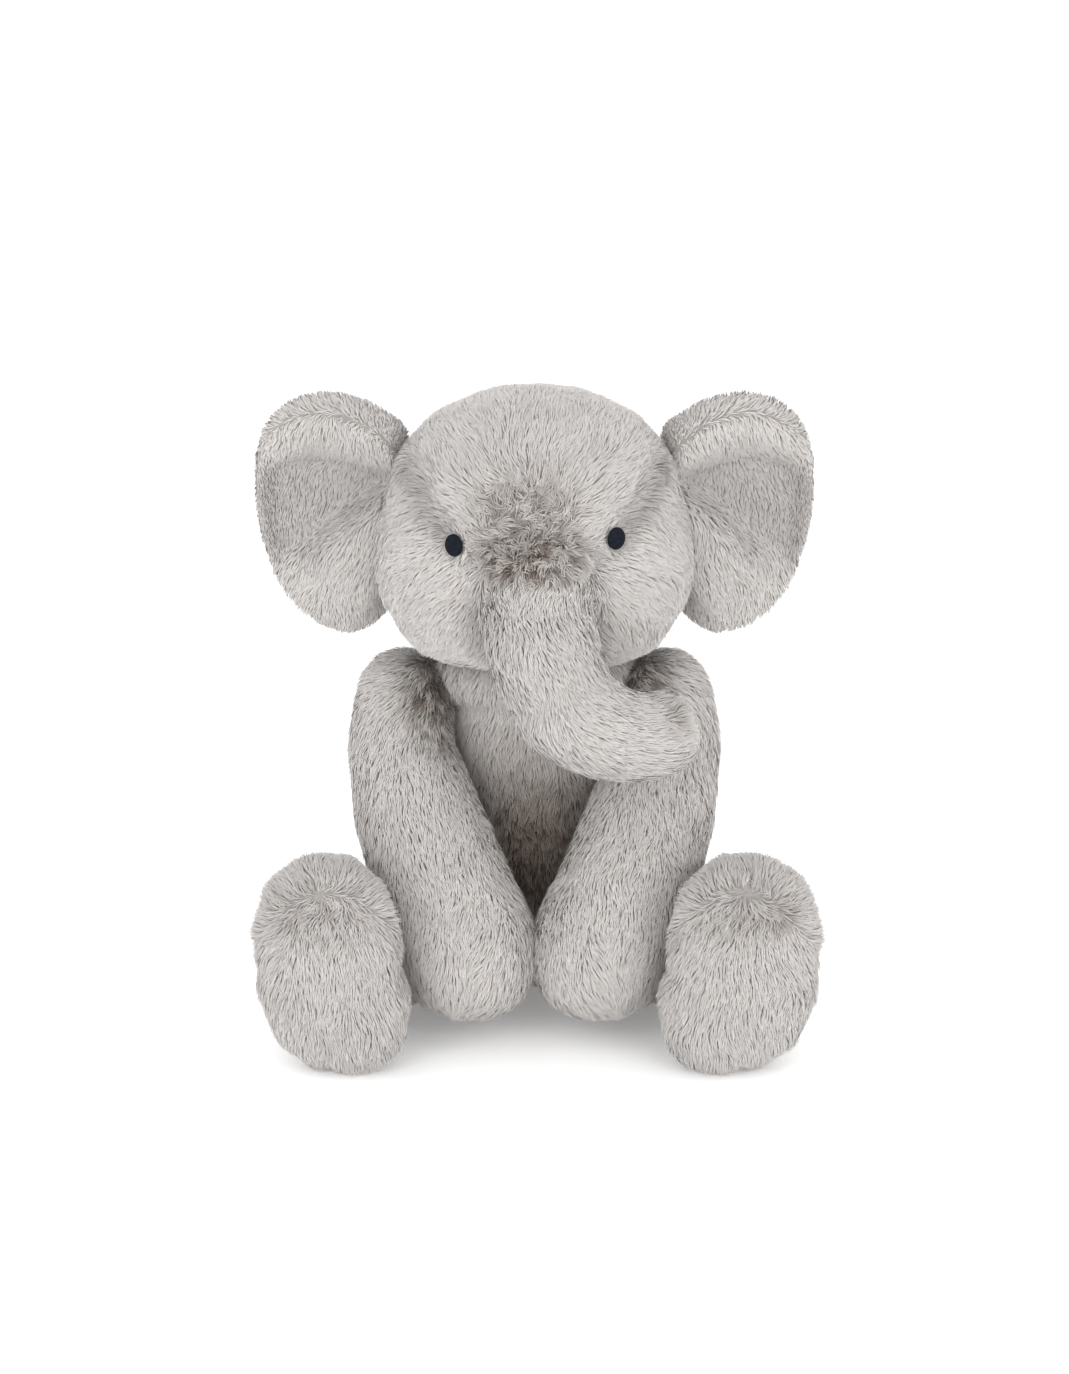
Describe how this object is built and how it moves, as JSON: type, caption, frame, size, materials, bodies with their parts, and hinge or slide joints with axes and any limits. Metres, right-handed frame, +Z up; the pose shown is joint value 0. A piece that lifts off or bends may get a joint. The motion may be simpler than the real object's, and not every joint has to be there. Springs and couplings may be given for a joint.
{
  "type": "stuffed elephant",
  "caption": "Seated plush elephant with big round ears, a trunk curled to one side, and arms hanging between splayed legs.",
  "frame": {"origin": "on the floor under the centre of the whole toy's box", "axes": "+Z up, +Y towards the elephant's back, +X towards the elephant's left side; it faces -Y"},
  "size_m": [0.248, 0.2102, 0.285],
  "materials": {
    "plush": "long soft pile, matte",
    "fibre_fill": "matte",
    "pouch_cloth": "matte",
    "eye_thread": "satin stitch"
  },
  "bodies": {
    "torso": {"body_front_left_panel": "plush", "body_front_right_panel": "plush", "body_back_left_panel": "plush", "body_back_right_panel": "plush", "body_base_panel": "plush", "body_stuffing": "fibre_fill", "pellet_pouch": "pouch_cloth"},
    "neck": {"neck_stuffing": "fibre_fill"},
    "head": {"head_left_panel": "plush", "head_right_panel": "plush", "head_centre_gusset": "plush", "head_back_gusset": "plush", "head_stuffing": "fibre_fill", "eye_left": "eye_thread", "eye_right": "eye_thread"},
    "trunk_base": {"trunk_base_front_panel": "plush", "trunk_base_back_panel": "plush", "trunk_base_stuffing": "fibre_fill"},
    "trunk_tip": {"trunk_tip_front_panel": "plush", "trunk_tip_back_panel": "plush", "trunk_tip_stuffing": "fibre_fill"},
    "tail": {"tail_strip": "plush", "tail_tuft": "plush"},
    "ear_left": {"ear_left_front_panel": "plush", "ear_left_wadding": "fibre_fill", "ear_left_back_panel": "plush"},
    "arm_left": {"arm_left_outer_panel": "plush", "arm_left_inner_panel": "plush", "arm_left_stuffing": "fibre_fill"},
    "leg_left": {"leg_left_outer_panel": "plush", "leg_left_inner_panel": "plush", "foot_left_sole": "plush", "leg_left_stuffing": "fibre_fill"},
    "ear_right": {"ear_right_front_panel": "plush", "ear_right_wadding": "fibre_fill", "ear_right_back_panel": "plush"},
    "arm_right": {"arm_right_outer_panel": "plush", "arm_right_inner_panel": "plush", "arm_right_stuffing": "fibre_fill"},
    "leg_right": {"leg_right_outer_panel": "plush", "leg_right_inner_panel": "plush", "foot_right_sole": "plush", "leg_right_stuffing": "fibre_fill"}
  },
  "joints": [
    {"name": "neck_turn", "type": "hinge", "parent": "torso", "child": "neck", "pos_m": [0, 0.0076, 0.1645], "axis": [0, 0, 1], "range_deg": [-25, 25]},
    {"name": "head_nod", "type": "hinge", "parent": "neck", "child": "head", "pos_m": [0, 0.0076, 0.1645], "axis": [-1, 0, 0], "range_deg": [-15, 12]},
    {"name": "trunk_lift", "type": "hinge", "parent": "head", "child": "trunk_base", "pos_m": [0.003, -0.0464, 0.205], "axis": [-1, 0, 0], "range_deg": [0, 45]},
    {"name": "trunk_curl", "type": "hinge", "parent": "trunk_base", "child": "trunk_tip", "pos_m": [0.014, -0.0834, 0.164], "axis": [0, 1, 0], "range_deg": [-13, 30]},
    {"name": "tail_swing", "type": "hinge", "parent": "torso", "child": "tail", "pos_m": [0, 0.0881, 0.056], "axis": [0, 1, 0], "range_deg": [-35, 35]},
    {"name": "ear_left_flap", "type": "hinge", "parent": "head", "child": "ear_left", "pos_m": [0.066, 0.0096, 0.2265], "axis": [0, 0, -1], "range_deg": [-15, 30]},
    {"name": "arm_left_swing", "type": "hinge", "parent": "torso", "child": "arm_left", "pos_m": [0.059, 0.0056, 0.144], "axis": [-1, 0, 0], "range_deg": [0, 30]},
    {"name": "leg_left_spread", "type": "hinge", "parent": "torso", "child": "leg_left", "pos_m": [0.0545, -0.0024, 0.032], "axis": [0, 0, 1], "range_deg": [0, 35]},
    {"name": "ear_right_flap", "type": "hinge", "parent": "head", "child": "ear_right", "pos_m": [-0.066, 0.0096, 0.2265], "axis": [0, 0, 1], "range_deg": [-15, 30]},
    {"name": "arm_right_swing", "type": "hinge", "parent": "torso", "child": "arm_right", "pos_m": [-0.059, 0.0056, 0.144], "axis": [-1, 0, 0], "range_deg": [0, 65]},
    {"name": "leg_right_spread", "type": "hinge", "parent": "torso", "child": "leg_right", "pos_m": [-0.0545, -0.0024, 0.032], "axis": [0, 0, -1], "range_deg": [0, 35]}
  ]
}
